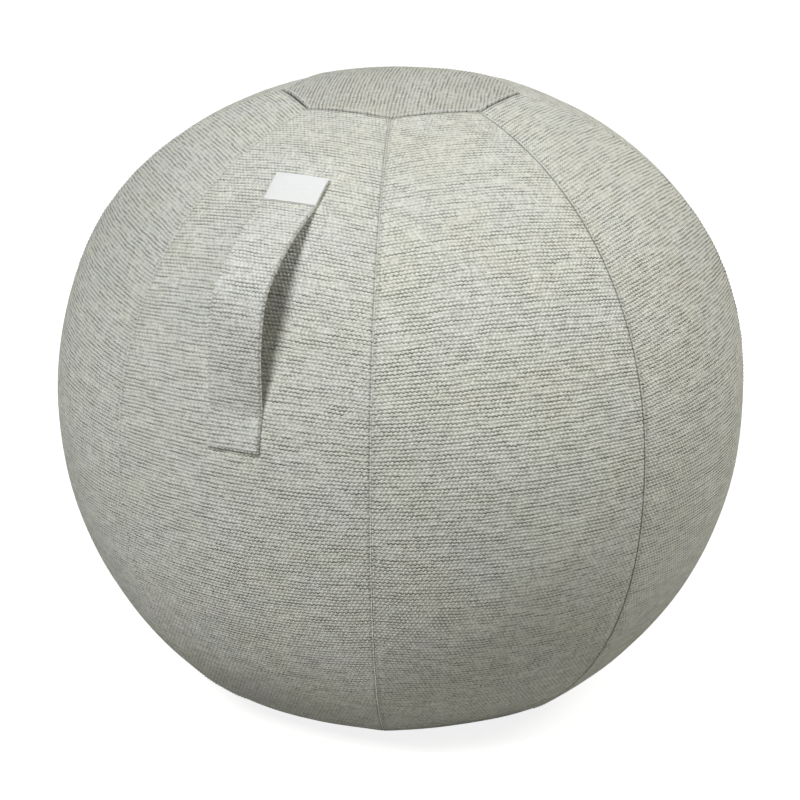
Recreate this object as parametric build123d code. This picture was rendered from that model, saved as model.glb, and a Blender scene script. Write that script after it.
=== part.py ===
from build123d import *
import os
from collections import namedtuple
from math import acos, atan2, cos, degrees, radians, sin, sqrt, tan

# Sitting ball: an inflated inner ball in a sewn cover of gore panels, with a carry strap, zip and floor ring.
# Millimetres. The floor is Z = 0, the ball's axis is Z, and the panel with the carry strap faces -Y.

# Cover, measured along and across its seams
PANEL_COUNT = 8
EQUATOR_RADIUS = 325.0
CROWN_HEIGHT = 297.0       # from the equator to where the upper seam curve would meet the axis
CROWN_FULLNESS = 2.18      # exponent of the upper seam curve: 2 is an ellipse, more has squarer shoulders
KEEL_DEPTH = 321.1         # the same two values for the lower seam curve
KEEL_FULLNESS = 2.20
TOP_RIM_RADIUS = 109.0     # corners of the top panel
TOP_DOME_RISE = 14.0       # middle of the top panel above its corners
BASE_RIM_RADIUS = 188.0    # corners of the base panel
CROWN_FLATNESS = 0.30      # 0 bulges a panel to the seams' circle, 1 leaves it straight between its seams
CROWN_FLAT_REACH = 150.0   # height above the equator at which it is that flat: at the equator it is round
KEEL_FLATNESS = 0.35       # the same two values below the equator
KEEL_FLAT_REACH = 270.0
FABRIC = 1.7               # thickness of the upholstery weave
HEM_WIDTH = 10.0           # seam allowance, turned in along each side of a panel
SEAM_GAP = 0.3             # between two panels at a seam
PANEL_SECTIONS = 15
TRIM_OVERRUN = 0.1         # radians by which a panel is drawn past the base before it is trimmed

# Inner ball and its valve
BALL_WALL = 1.2
BALL_GAP = 0.5             # between the inner ball and the cover
BALL_FLATNESS = 0.35       # the ball stays in as if panels were this flat, which leaves the zip its room
BALL_FOOT_SHARE = 0.8      # of the way from the equator to the base rim: there the ball rounds to its flat
BALL_ARCS = 10
VALVE_RADIUS = 9.0
VALVE_LENGTH = 13.0
VALVE_FLANGE_RADIUS = 15.0
VALVE_FLANGE = 1.6
PLUG_STEM_RADIUS = 4.0
PLUG_TIP_RADIUS = 2.8
PLUG_STEM_LENGTH = 18.0
PLUG_HEAD_RADIUS = 7.5
PLUG_HEAD = 1.6
VALVE_FIT = 0.05

# Floor ring in its tunnel
RING_PATH_RADIUS = 120.0
RING_RADIUS = 6.0
RING_FIT = 0.3
TUNNEL_WALL = 1.2
TUNNEL_FLANGE = 9.0        # sewn strip of the tunnel on each side of the ring
TUNNEL_FLAT = 0.5          # how much the tunnel is worn flat where it stands

# Carry strap, by distances up the middle of its panel from the equator
STRAP_WIDTH = 50.0
STRAP_THICKNESS = 3.2
STRAP_START = 41.0
STRAP_LOWER_TAB = 35.0
STRAP_PEAK = 165.0
STRAP_UPPER_TAB_START = 260.0
STRAP_UPPER_TAB = 31.0
STRAP_OFFSET = 4.5         # of the strap's middle from the panel's
STRAP_RISE = 28.0          # clear space under the strap at its peak
STRAP_ROOT_PULL = 34.0     # the strap leaves a tab straight towards a point this far along the panel
STRAP_ROOT_LIFT = 14.0     # and this far out from it
STRAP_PEAK_PULL = 22.0     # half length of the strap's bend at its peak
STRAP_FIT = 0.2            # between a sewn tab and the panel
GRIP_LENGTH = 90.0
GRIP_GAP = 0.4             # between the grip and the sewn ends
LABEL_HEIGHT = 30.0
LABEL_THICKNESS = 0.6

# Zip in a rear seam, by heights from the equator, distances along it and depths below the seam line
ZIP_SEAM = 157.5           # degrees round from the strap
ZIP_TOP = 30.0
ZIP_BOTTOM = -200.0
ZIP_SLOT_WIDTH = 13.0
ZIP_TAPE_DEPTH = 4.0
ZIP_TAPE = 0.6
ZIP_TAPE_EDGE = 1.7        # from the middle of the zip to each tape
ZIP_TAPE_WIDTH = 9.3
ZIP_TAPE_OVERRUN = 10.0    # how far the tapes run on past the slot
ZIP_TAPE_ROOM = 0.5        # round the tapes' edges
ZIP_HEM_CLEARANCE = 0.1    # between the tapes and the hem over them
TOOTH_PITCH = 4.0
TOOTH_WIDTH = 1.6
TOOTH_HEIGHT = 2.0
TOOTH_NOSE = 0.8           # how far a tooth reaches past the middle
TOOTH_ROOT = 3.2           # how far it reaches back over its tape
TOOTH_SEAT = 0.05
TOP_STOP_START = 3.0
TOP_STOP_LENGTH = 3.0
BOTTOM_STOP_LENGTH = 5.0
BOTTOM_STOP_INSET = 5.0
SLIDER_LENGTH = 14.0
SLIDER_FRONT_WIDTH = 11.4
SLIDER_BACK_WIDTH = 9.4
SLIDER_PLATE = 1.2
SLIDER_CLEARANCE = 0.4     # round the teeth and tapes
SLIDER_RAIL = 0.9
SLIDER_POST_LENGTH = 3.0
SLIDER_STOP_GAP = 1.0
BAIL_RADIUS = 0.7
BAIL_HEIGHT = 2.3          # axis of the bail bar above the slider
BAIL_SPAN = 4.0            # between the bail's two ears
BAIL_EAR = 1.0
BAIL_EAR_LENGTH = 2.4
PULL_FIT = 0.1
PULL_EYE_WALL = 1.0
PULL_THICKNESS = 1.2
PULL_NECK = 4.5
PULL_LENGTH = 28.0
PULL_WIDTH = 7.0
PULL_HOLE_RADIUS = 1.8

# Values that follow from the sizes above
HALF_ANGLE = radians(180 / PANEL_COUNT)
HALF_SHARE = 1 - cos(HALF_ANGLE)
FLOOR_STACK = 2 * (RING_RADIUS + RING_FIT) + TUNNEL_WALL - TUNNEL_FLAT
Station = namedtuple("Station", "middle normal half_chord bulge flattening")


def seam_angle(radius, fullness):
    """Angle of the seam curve, 0 at the equator, where it has come in to this radius."""
    return acos((radius / EQUATOR_RADIUS) ** (fullness / 2))


def seam_point(turn):
    """Radius and height above the equator of a seam at an angle that is positive above the equator."""
    height, fullness = (CROWN_HEIGHT, CROWN_FULLNESS) if turn > 0 else (-KEEL_DEPTH, KEEL_FULLNESS)
    return EQUATOR_RADIUS * cos(turn) ** (2 / fullness), height * abs(sin(turn)) ** (2 / fullness)


def seam_radius(height):
    """Radius of a seam at a height above the equator."""
    limit, fullness = (CROWN_HEIGHT, CROWN_FULLNESS) if height > 0 else (KEEL_DEPTH, KEEL_FULLNESS)
    return EQUATOR_RADIUS * (1 - (abs(height) / limit) ** fullness) ** (1 / fullness)


TOP_TURN = seam_angle(TOP_RIM_RADIUS, CROWN_FULLNESS)
BASE_TURN = -seam_angle(BASE_RIM_RADIUS, KEEL_FULLNESS)
PAST_BASE_TURN = BASE_TURN - TRIM_OVERRUN
BASE_TOP = FLOOR_STACK + FABRIC
EQUATOR_Z = BASE_TOP - seam_point(BASE_TURN)[1]


def flatness(height):
    """How much flatter than the seams' circle a panel is at a height above the equator."""
    most, reach = (CROWN_FLATNESS, CROWN_FLAT_REACH) if height > 0 else (KEEL_FLATNESS, KEEL_FLAT_REACH)
    share = min(abs(height) / reach, 1)
    return most * share**2 * (3 - 2 * share)


def station(turn):
    """Section of the panel that faces -Y: the chord between its two seams and its bulge over that chord."""
    radius, height = seam_point(turn)
    limit, fullness = (CROWN_HEIGHT, CROWN_FULLNESS) if turn > 0 else (KEEL_DEPTH, KEEL_FULLNESS)
    outward = (radius / EQUATOR_RADIUS) ** (fullness - 1) / (EQUATOR_RADIUS * cos(HALF_ANGLE))
    upward = (abs(height) / limit) ** (fullness - 1) / limit
    normal = Vector(0, -outward, upward if turn > 0 else -upward).normalized()
    full_bulge = radius * HALF_SHARE * -normal.Y
    return Station(
        Vector(0, -radius * cos(HALF_ANGLE), EQUATOR_Z + height),
        normal,
        radius * sin(HALF_ANGLE),
        (1 - flatness(height)) * full_bulge,
        flatness(height) * full_bulge,
    )


def spread(first, last, count):
    """Evenly spaced values from first to last."""
    return [first + (last - first) * step / (count - 1) for step in range(count)]


def arc_height(across, half_width, rise):
    """Height above its chord of an arc of the given half width and rise, at a distance from its middle."""
    radius = (half_width**2 + rise**2) / (2 * rise)
    return rise - radius + sqrt(radius**2 - across**2)


def panel_section(turn):
    """Section of a gore panel: one layer of fabric, doubled by the hem that is turned in along each seam."""
    here = station(turn)
    lean = -here.normal.Y * tan(HALF_ANGLE)
    edge = here.half_chord - SEAM_GAP / 2 / cos(HALF_ANGLE)
    inner_edge = edge - lean * FABRIC
    hem_edge = edge - 2 * lean * FABRIC
    hem_end = hem_edge - HEM_WIDTH
    hem_rise = arc_height(hem_end, inner_edge, here.bulge)

    def place(across, out):
        return here.middle + Vector(across, 0, 0) + here.normal * out

    def side(sign):
        return [
            place(sign * edge, 0),
            place(sign * hem_edge, -2 * FABRIC),
            place(sign * hem_end, hem_rise - 2 * FABRIC),
            place(sign * hem_end, hem_rise - FABRIC),
        ]

    left = side(-1)
    right = side(1)
    return make_face([
        ThreePointArc(right[0], place(0, here.bulge), left[0]),
        *Polyline(*left).edges(),
        ThreePointArc(left[-1], place(0, here.bulge - FABRIC), right[-1]),
        *Polyline(*reversed(right)).edges(),
    ])


def make_panel():
    """The gore panel that faces -Y, trimmed level where it meets the base panel."""
    sections = [panel_section(turn) for turn in spread(PAST_BASE_TURN, TOP_TURN, PANEL_SECTIONS)]
    return split(loft(sections), bisect_by=Plane.XY.offset(BASE_TOP), keep=Keep.TOP)


def make_top_panel():
    """Eight-cornered dome whose sides follow the ends of the gore panels."""
    here = station(TOP_TURN)
    corner_z = here.middle.Z
    dome_radius = (TOP_RIM_RADIUS**2 + TOP_DOME_RISE**2) / (2 * TOP_DOME_RISE)
    centre = Pos(0, 0, corner_z + TOP_DOME_RISE - dome_radius)
    dome = centre * Sphere(dome_radius) - centre * Sphere(dome_radius - FABRIC)
    lean = tan(atan2(-here.normal.Y, here.normal.Z))
    mouth = -here.middle.Y - SEAM_GAP + lean * TOP_DOME_RISE
    depth = 2 * TOP_DOME_RISE
    outlines = [
        Pos(0, 0, corner_z + TOP_DOME_RISE - drop)
        * Rot(0, 0, 90 - degrees(HALF_ANGLE))
        * RegularPolygon(mouth - lean * drop, PANEL_COUNT, major_radius=False)
        for drop in (depth, 0)
    ]
    return dome & loft(outlines, ruled=True)


def make_base_panel():
    """Flat panel under the gores, its sides bowed as theirs are."""
    corner = BASE_RIM_RADIUS
    middle = corner * (cos(HALF_ANGLE) + (1 - flatness(seam_point(BASE_TURN)[1])) * HALF_SHARE)

    def at(radius, angle):
        return Vector(radius * sin(angle), -radius * cos(angle), FLOOR_STACK)

    sides = []
    for panel in range(PANEL_COUNT):
        angle = 2 * HALF_ANGLE * panel
        sides.append(ThreePointArc(
            at(corner, angle - HALF_ANGLE), at(middle, angle), at(corner, angle + HALF_ANGLE)))
    return extrude(make_face(sides), FABRIC, dir=(0, 0, 1))


def make_floor_ring():
    """Bendy ring that rests in the tunnel."""
    return Pos(0, 0, FLOOR_STACK - RING_FIT - RING_RADIUS) * Torus(RING_PATH_RADIUS, RING_RADIUS)


def make_ring_tunnel():
    """Fabric tunnel: a trough round the floor ring with a sewn strip on each side, flat where it stands."""
    centre_z = FLOOR_STACK - RING_FIT - RING_RADIUS
    inner = RING_RADIUS + RING_FIT
    outer = inner + TUNNEL_WALL
    strip_z = FLOOR_STACK - TUNNEL_WALL
    stand = sqrt(outer**2 - centre_z**2)
    bend = atan2(centre_z, stand) / 2

    def at(across, z):
        return Vector(RING_PATH_RADIUS + across, 0, z)

    trough = ThreePointArc(at(inner, centre_z), at(0, centre_z - inner), at(-inner, centre_z))
    edges = [trough]
    for sign in (-1, 1):
        wall = Polyline(
            at(sign * inner, centre_z),
            at(sign * inner, FLOOR_STACK),
            at(sign * (outer + TUNNEL_FLANGE), FLOOR_STACK),
            at(sign * (outer + TUNNEL_FLANGE), strip_z),
            at(sign * outer, strip_z),
            at(sign * outer, centre_z),
        )
        edges += wall.edges()
        turn = at(sign * outer * cos(bend), centre_z - outer * sin(bend))
        edges.append(ThreePointArc(at(sign * outer, centre_z), turn, at(sign * stand, 0)))
    edges.append(Line(at(-stand, 0), at(stand, 0)))
    return revolve(make_face(edges), Axis.Z)


def ball_side(turn, inset):
    """Radius and height of the inner ball's side, which stops at the panel's middle or at the hems."""
    here = station(turn)
    full_bulge = here.bulge + here.flattening
    flattening = max(here.flattening, BALL_FLATNESS * full_bulge)
    hem_end = 1 - HEM_WIDTH / here.half_chord
    hem_depth = max(0, FABRIC - flattening * hem_end**2)
    side = here.middle + here.normal * (full_bulge - flattening - FABRIC - hem_depth - BALL_GAP - inset)
    return Vector(-side.Y, 0, side.Z)


def ball_outline(inset):
    """Half outline of the inner ball, as arcs from the crown down its side and round to its flat foot."""
    foot_turn = BALL_FOOT_SHARE * BASE_TURN
    points = [ball_side(turn, inset) for turn in spread(TOP_TURN, foot_turn, 2 * BALL_ARCS + 1)]
    crown = Vector(0, 0, station(TOP_TURN).middle.Z + TOP_DOME_RISE - FABRIC - BALL_GAP - inset)
    brow = points[0].X / 2
    brow_z = points[0].Z + arc_height(brow, points[0].X, crown.Z - points[0].Z)
    edges = [ThreePointArc(crown, (brow, 0, brow_z), points[0])]
    for first in range(0, 2 * BALL_ARCS, 2):
        edges.append(ThreePointArc(*points[first:first + 3]))
    normal = station(foot_turn).normal
    inward = Vector(normal.Y, 0, -normal.Z)
    rest_z = BASE_TOP + BALL_GAP + inset
    foot_radius = (points[-1].Z - rest_z) / (1 - inward.Z)
    centre = points[-1] + inward * foot_radius
    halfway = (Vector(0, 0, -1) - inward).normalized() * foot_radius
    rest = centre - Vector(0, 0, foot_radius)
    edges.append(ThreePointArc(points[-1], centre + halfway, rest))
    edges.append(Line(rest, (0, 0, rest_z)))
    return edges


def make_inner_ball():
    """Thick-walled inflated ball, with a round hole for the valve behind the zip."""
    outer = ball_outline(0)
    inner = ball_outline(BALL_WALL)
    axis_lines = [Line(outer[0] @ 0, inner[0] @ 0), Line(outer[-1] @ 1, inner[-1] @ 1)]
    hole = valve_axis() * extrude(Circle(VALVE_RADIUS + VALVE_FIT), VALVE_LENGTH, both=True)
    return revolve(make_face(outer + inner + axis_lines), Axis.Z) - hole


def valve_axis():
    """Place of the valve: Z points out of the ball through the middle of its wall's outer face."""
    face = ball_side(0, 0)
    return Rot(0, 0, ZIP_SEAM - 90) * Location(Plane(origin=face, x_dir=(0, 1, 0), z_dir=(1, 0, 0)))


def turned(*points):
    """Solid turned about Z from the points of its half outline."""
    return revolve(make_face(Polyline(*[(x, 0, z) for x, z in points], close=True)), Axis.Z)


def make_valve_seat():
    """Moulded tube with a flange inside the ball's wall and a bore that the plug's stem fills."""
    bore = PLUG_STEM_RADIUS + VALVE_FIT
    flange_top = -BALL_WALL - BALL_GAP
    seat = turned(
        (bore, 0), (VALVE_RADIUS, 0), (VALVE_RADIUS, flange_top), (VALVE_FLANGE_RADIUS, flange_top),
        (VALVE_FLANGE_RADIUS, flange_top - VALVE_FLANGE), (VALVE_RADIUS, flange_top - VALVE_FLANGE),
        (VALVE_RADIUS, -VALVE_LENGTH), (bore, -VALVE_LENGTH))
    return valve_axis() * seat


def make_air_plug():
    """Flat-headed plug with a stem that narrows to its tip past the end of the seat."""
    plug = turned(
        (0, PLUG_HEAD), (PLUG_HEAD_RADIUS, PLUG_HEAD),
        (PLUG_HEAD_RADIUS, VALVE_FIT), (PLUG_STEM_RADIUS, VALVE_FIT),
        (PLUG_STEM_RADIUS, -VALVE_LENGTH), (PLUG_TIP_RADIUS, -PLUG_STEM_LENGTH), (0, -PLUG_STEM_LENGTH))
    return valve_axis() * plug


def panel_middle():
    """Line up the middle of the panel that faces -Y, from the equator to its top."""
    points = []
    for turn in spread(0, TOP_TURN, PANEL_SECTIONS):
        here = station(turn)
        points.append(here.middle + here.normal * here.bulge)
    return Spline(*points)


PANEL_MIDDLE = panel_middle()


def on_panel(distance, out=0):
    """Point a distance up the panel's middle line from the equator, and out from it by the second value."""
    along = panel_direction(distance)
    normal = Vector(0, -along.Z, along.Y)
    return PANEL_MIDDLE.position_at(distance, position_mode=PositionMode.LENGTH) + normal * out


def panel_direction(distance):
    """Upward direction of the panel's middle line."""
    return PANEL_MIDDLE.tangent_at(distance, position_mode=PositionMode.LENGTH)


def strap_line(out):
    """Side view of one face of the strap: along the lower tab, over the arch and along the upper tab."""
    lift = STRAP_START + STRAP_LOWER_TAB
    land = STRAP_UPPER_TAB_START
    end = land + STRAP_UPPER_TAB
    lower_tab = ThreePointArc(
        on_panel(STRAP_START, out), on_panel((STRAP_START + lift) / 2, out), on_panel(lift, out))
    peak = on_panel(STRAP_PEAK, STRAP_RISE + out)
    bend = panel_direction(STRAP_PEAK) * STRAP_PEAK_PULL
    root = STRAP_ROOT_LIFT + out
    rise = Bezier(lower_tab @ 1, on_panel(lift + STRAP_ROOT_PULL, root), peak - bend, peak)
    fall = Bezier(peak, peak + bend, on_panel(land - STRAP_ROOT_PULL, root), on_panel(land, out))
    upper_tab = ThreePointArc(on_panel(land, out), on_panel((land + end) / 2, out), on_panel(end, out))
    return [lower_tab, rise, fall, upper_tab]


def across_strap(outline):
    """Solid as wide as the strap, from the outline of its side view."""
    return Pos(STRAP_OFFSET, 0, 0) * extrude(make_face(outline), STRAP_WIDTH / 2, dir=(1, 0, 0), both=True)


def make_strap():
    """The strap as its three pieces: sewn lower end, grip and sewn upper end."""
    inside = strap_line(STRAP_FIT)
    outside = strap_line(STRAP_FIT + STRAP_THICKNESS)
    ends = [Line(inside[0] @ 0, outside[0] @ 0), Line(inside[-1] @ 1, outside[-1] @ 1)]
    whole = across_strap(inside + outside + ends)
    along = panel_direction(STRAP_PEAK)
    peak = on_panel(STRAP_PEAK)

    def cut(distance):
        return Plane(origin=peak + along * distance, z_dir=along)

    half = GRIP_LENGTH / 2
    lower_end = split(whole, bisect_by=cut(-half - GRIP_GAP), keep=Keep.BOTTOM)
    upper_end = split(whole, bisect_by=cut(half + GRIP_GAP), keep=Keep.TOP)
    grip = split(split(whole, bisect_by=cut(-half), keep=Keep.TOP), bisect_by=cut(half), keep=Keep.BOTTOM)
    return lower_end, grip, upper_end


def make_label():
    """Bare label over the strap's upper tab, as wide as the strap."""
    end = STRAP_UPPER_TAB_START + STRAP_UPPER_TAB
    start = end - LABEL_HEIGHT

    def face_line(out):
        return ThreePointArc(on_panel(start, out), on_panel((start + end) / 2, out), on_panel(end, out))

    inside = face_line(2 * STRAP_FIT + STRAP_THICKNESS)
    outside = face_line(2 * STRAP_FIT + STRAP_THICKNESS + LABEL_THICKNESS)
    ends = [Line(inside @ 0, outside @ 0), Line(inside @ 1, outside @ 1)]
    return across_strap([inside, outside, *ends])


# The zip is made in the XZ plane, where +X points out of the ball and +Y lies across the zip.
# It follows one arc through three points of the seam, so that the slider runs on it about one axis.
ZIP_HEIGHTS = (ZIP_TOP, (ZIP_TOP + ZIP_BOTTOM) / 2, ZIP_BOTTOM)
ZIP_ENDS = [Vector(seam_radius(height), 0, EQUATOR_Z + height) for height in ZIP_HEIGHTS]
ZIP_ARC = ThreePointArc(*ZIP_ENDS)
ZIP_LENGTH = ZIP_ARC.length
ZIP_AXIS = Axis(ZIP_ARC.arc_center, (0, 1, 0))
ZIP_OUTWARD = (ZIP_ENDS[0] - ZIP_ARC.arc_center).normalized()
ZIP_PLANE = Plane(origin=ZIP_ENDS[0], x_dir=Vector(0, 1, 0).cross(ZIP_OUTWARD), z_dir=ZIP_OUTWARD)
TO_ZIP_SEAM = Rot(0, 0, ZIP_SEAM - 90)
TEETH_TOP = ZIP_TAPE_DEPTH - TOOTH_SEAT - TOOTH_HEIGHT
SLIDER_START = TOP_STOP_START + TOP_STOP_LENGTH + SLIDER_STOP_GAP
SLIDER_MIDDLE = SLIDER_START + SLIDER_LENGTH / 2
TEETH_START = SLIDER_START + SLIDER_POST_LENGTH + 2 * SLIDER_CLEARANCE + TOOTH_PITCH
BOTTOM_STOP_START = ZIP_LENGTH - BOTTOM_STOP_INSET - BOTTOM_STOP_LENGTH
SLIDER_TOP_DEPTH = TEETH_TOP - SLIDER_CLEARANCE - SLIDER_PLATE


def zip_turn(distance):
    """Degrees round the zip's axis for a distance along the zip from the top of its slot."""
    return degrees(distance / ZIP_ARC.radius)


def zip_band(start, end, near, far, shallow, deep):
    """Curved block of the zip: between two distances along it, two across it and two depths in it."""
    corners = [(near, shallow), (far, shallow), (far, deep), (near, deep)]
    outline = [ZIP_ENDS[0] - ZIP_OUTWARD * depth + Vector(0, across, 0) for across, depth in corners]
    block = revolve(make_face(Polyline(*outline, close=True)), ZIP_AXIS, revolution_arc=zip_turn(end - start))
    return block.rotate(ZIP_AXIS, zip_turn(start))


def put_on_zip(piece, distance):
    """Move a piece to a distance along the zip: its X then runs down the zip, and Z = 0 lies on the seam."""
    return (ZIP_PLANE.location * piece).rotate(ZIP_AXIS, zip_turn(distance))


def make_zip_slot():
    """Space cut from the two panels beside the zip: the slot, and the thinned hem over the tapes."""
    half_slot = ZIP_SLOT_WIDTH / 2
    reach = ZIP_TAPE_EDGE + ZIP_TAPE_WIDTH + ZIP_TAPE_ROOM
    overrun = ZIP_TAPE_OVERRUN + ZIP_TAPE_ROOM
    through = 4 * ZIP_TAPE_DEPTH
    slot = zip_band(0, ZIP_LENGTH, -half_slot, half_slot, -through, through)
    under = zip_band(
        -overrun, ZIP_LENGTH + overrun, -reach, reach, ZIP_TAPE_DEPTH - ZIP_HEM_CLEARANCE, through)
    return slot + under


def make_zip_tape(sign):
    """One tape, running on under the panel past both ends of the slot."""
    near, far = sorted((sign * ZIP_TAPE_EDGE, sign * (ZIP_TAPE_EDGE + ZIP_TAPE_WIDTH)))
    return zip_band(
        -ZIP_TAPE_OVERRUN, ZIP_LENGTH + ZIP_TAPE_OVERRUN, near, far,
        ZIP_TAPE_DEPTH, ZIP_TAPE_DEPTH + ZIP_TAPE)


def make_zip_teeth(sign):
    """Teeth of one side, half a pitch from the other side's, each with a tapered nose past the middle."""
    half = TOOTH_WIDTH / 2
    outline = Polyline(
        (-half, TOOTH_ROOT), (half, TOOTH_ROOT), (half, 0), (half / 2, -TOOTH_NOSE), (-half / 2, -TOOTH_NOSE),
        (-half, 0), close=True)
    tooth = Pos(0, 0, TOOTH_SEAT - ZIP_TAPE_DEPTH) * extrude(make_face(outline), TOOTH_HEIGHT)
    if sign < 0:
        tooth = Rot(0, 0, 180) * tooth
    first = TEETH_START + (TOOTH_PITCH / 2 if sign < 0 else 0)
    count = int((BOTTOM_STOP_START - TOOTH_PITCH - first) / TOOTH_PITCH) + 1
    return Compound(children=[put_on_zip(tooth, first + TOOTH_PITCH * index) for index in range(count)])


def make_top_stops():
    """A crimped stop on each tape at the closed end."""
    stops = []
    for sign in (-1, 1):
        near, far = sorted((sign * ZIP_TAPE_EDGE, sign * TOOTH_ROOT))
        stops.append(zip_band(
            TOP_STOP_START, TOP_STOP_START + TOP_STOP_LENGTH, near, far,
            TEETH_TOP, ZIP_TAPE_DEPTH - TOOTH_SEAT))
    return Compound(children=stops)


def make_bottom_stop():
    """Stop that joins the two tapes at the open end."""
    return zip_band(
        BOTTOM_STOP_START, BOTTOM_STOP_START + BOTTOM_STOP_LENGTH, -TOOTH_ROOT, TOOTH_ROOT,
        TEETH_TOP, ZIP_TAPE_DEPTH - TOOTH_SEAT)


def make_slider():
    """Slider: two tapered plates joined by the post that parts the teeth, with rails and a bail on top."""
    half = SLIDER_LENGTH / 2
    front = SLIDER_FRONT_WIDTH / 2
    back = SLIDER_BACK_WIDTH / 2
    outline = make_face(Polyline((-half, -front), (-half, front), (half, back), (half, -back), close=True))
    outline = fillet(outline.vertices(), SLIDER_RAIL)
    top_face = -SLIDER_TOP_DEPTH
    ceiling = top_face - SLIDER_PLATE
    floor = -ZIP_TAPE_DEPTH - ZIP_TAPE - SLIDER_CLEARANCE
    rail_depth = ceiling + ZIP_TAPE_DEPTH - SLIDER_CLEARANCE
    body = Pos(0, 0, ceiling) * extrude(outline, SLIDER_PLATE)
    body += Pos(0, 0, floor - SLIDER_PLATE) * extrude(outline, SLIDER_PLATE)
    rails = outline - offset(outline, -SLIDER_RAIL)
    throat = Rectangle(2 * SLIDER_LENGTH, 2 * (TOOTH_ROOT + SLIDER_CLEARANCE))
    body += Pos(0, 0, ceiling - rail_depth) * extrude(rails - throat, rail_depth)
    post_width = 2 * (ZIP_TAPE_EDGE - SLIDER_CLEARANCE)
    post = Pos(SLIDER_POST_LENGTH / 2 - half, 0) * Rectangle(SLIDER_POST_LENGTH, post_width)
    body += Pos(0, 0, floor) * extrude(post, ceiling - floor)
    ear = extrude(Rectangle(BAIL_EAR_LENGTH, BAIL_EAR), BAIL_HEIGHT + BAIL_RADIUS)
    for sign in (-1, 1):
        body += Pos(0, sign * (BAIL_SPAN + BAIL_EAR) / 2, top_face) * ear
    bar = Pos(0, 0, top_face + BAIL_HEIGHT) * Rot(90, 0, 0) * Cylinder(BAIL_RADIUS, BAIL_SPAN + BAIL_EAR)
    return put_on_zip(body + bar, SLIDER_MIDDLE)


def make_pull():
    """Pull: an eye round the bail bar and a tab with a hole, hanging down over the teeth."""
    height = BAIL_HEIGHT - SLIDER_TOP_DEPTH
    eye_width = BAIL_SPAN - 2 * SLIDER_CLEARANCE
    bore = BAIL_RADIUS + PULL_FIT
    eye = Rot(90, 0, 0) * Cylinder(bore + PULL_EYE_WALL, eye_width)
    neck = Pos(PULL_NECK / 2 + PULL_FIT, 0) * Rectangle(PULL_NECK, eye_width)
    tab_length = PULL_LENGTH - PULL_NECK
    tab = Pos(PULL_NECK + tab_length / 2, 0) * RectangleRounded(tab_length, PULL_WIDTH, PULL_WIDTH / 4)
    hole = Pos(PULL_LENGTH - PULL_WIDTH / 2, 0) * Circle(PULL_HOLE_RADIUS)
    blade = Pos(0, 0, -PULL_THICKNESS / 2) * extrude(neck + tab - hole, PULL_THICKNESS)
    pull = eye + blade - Rot(90, 0, 0) * Cylinder(bore, PULL_WIDTH)
    return put_on_zip(Pos(0, 0, height) * pull, SLIDER_MIDDLE)


def make_all():
    """Every piece of the ball by its name."""
    panel = make_panel()
    slot = TO_ZIP_SEAM * make_zip_slot()
    pieces = {}
    for index in range(PANEL_COUNT):
        turned_panel = Rot(0, 0, degrees(2 * HALF_ANGLE * index)) * panel
        beside_zip = abs(degrees(2 * HALF_ANGLE * index) - ZIP_SEAM) < degrees(1.5 * HALF_ANGLE)
        pieces[f"cover_panel_{index + 1}"] = turned_panel - slot if beside_zip else turned_panel
    pieces["top_panel"] = make_top_panel()
    pieces["base_panel"] = make_base_panel()
    pieces["ring_tunnel"] = make_ring_tunnel()
    pieces["floor_ring"] = make_floor_ring()
    pieces["inner_ball"] = make_inner_ball()
    pieces["valve_seat"] = make_valve_seat()
    pieces["air_plug"] = make_air_plug()
    lower_end, grip, upper_end = make_strap()
    pieces["handle_lower_end"] = lower_end
    pieces["handle_grip"] = grip
    pieces["handle_upper_end"] = upper_end
    pieces["handle_label"] = make_label()
    for side, sign in (("left", -1), ("right", 1)):
        pieces[f"zip_tape_{side}"] = TO_ZIP_SEAM * make_zip_tape(sign)
        pieces[f"zip_teeth_{side}"] = TO_ZIP_SEAM * make_zip_teeth(sign)
    pieces["zip_top_stops"] = TO_ZIP_SEAM * make_top_stops()
    pieces["zip_bottom_stop"] = TO_ZIP_SEAM * make_bottom_stop()
    pieces["zip_slider"] = TO_ZIP_SEAM * make_slider()
    pieces["zip_pull"] = TO_ZIP_SEAM * make_pull()
    return pieces


os.makedirs("parts", exist_ok=True)
for name, piece in make_all().items():
    export_step(piece, f"parts/{name}.step")
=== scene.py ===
from math import acos, atan2, cos, exp, hypot, pi, radians, sin, sqrt, tan

import bpy
from mathutils import Matrix, Vector, noise


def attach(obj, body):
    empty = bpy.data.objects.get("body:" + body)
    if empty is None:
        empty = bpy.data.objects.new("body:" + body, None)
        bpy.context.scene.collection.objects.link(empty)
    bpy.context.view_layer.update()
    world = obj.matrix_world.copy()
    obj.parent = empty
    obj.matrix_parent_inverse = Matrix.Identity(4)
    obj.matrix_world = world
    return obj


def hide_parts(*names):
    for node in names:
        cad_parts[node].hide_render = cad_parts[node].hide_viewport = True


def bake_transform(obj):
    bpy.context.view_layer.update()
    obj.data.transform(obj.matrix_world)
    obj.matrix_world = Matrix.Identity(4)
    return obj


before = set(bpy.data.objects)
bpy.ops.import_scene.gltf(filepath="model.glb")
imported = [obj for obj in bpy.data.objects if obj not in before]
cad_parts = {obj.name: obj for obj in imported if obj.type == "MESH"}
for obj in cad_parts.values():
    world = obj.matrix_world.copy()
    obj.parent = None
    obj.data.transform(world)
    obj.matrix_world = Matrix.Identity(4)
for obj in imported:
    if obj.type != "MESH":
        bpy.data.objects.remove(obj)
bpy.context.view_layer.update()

# Sitting ball in a sewn upholstery cover: the cloth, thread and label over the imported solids, and the studio.
# Metres. The cover's sizes are those of the solids.
PANEL_COUNT = 8
EQUATOR_RADIUS = 0.325
CROWN_HEIGHT = 0.297
CROWN_FULLNESS = 2.18
KEEL_DEPTH = 0.3211
KEEL_FULLNESS = 2.20
TOP_RIM_RADIUS = 0.109
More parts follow.
